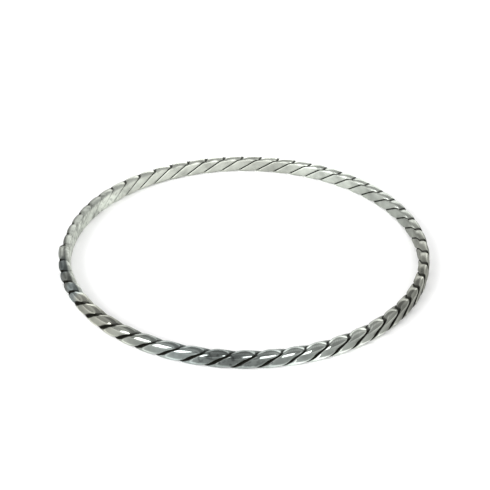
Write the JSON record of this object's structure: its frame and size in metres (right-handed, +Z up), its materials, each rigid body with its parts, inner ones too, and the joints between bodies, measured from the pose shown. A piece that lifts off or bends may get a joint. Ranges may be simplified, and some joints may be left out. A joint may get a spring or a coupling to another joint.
{
  "type": "twisted wire bangle",
  "caption": "Closed round bangle of wires twisted together and rolled flat, worn over the hand on the wrist.",
  "frame": {"origin": "on the surface that the bangle lies on, under the middle of the ring", "axes": "+Z up along the ring's axis, +X to the right and -Y to the front as the picture shows the bangle, with the soldered seam at -X"},
  "size_m": [0.0695, 0.0687, 0.0032],
  "materials": {
    "silver": "polished silver on the rolled lobes, satin on the inner face, blackened in the grooves"
  },
  "bodies": {
    "root": {"wire_1": "silver", "wire_2": "silver", "wire_3": "silver"}
  },
  "joints": []
}
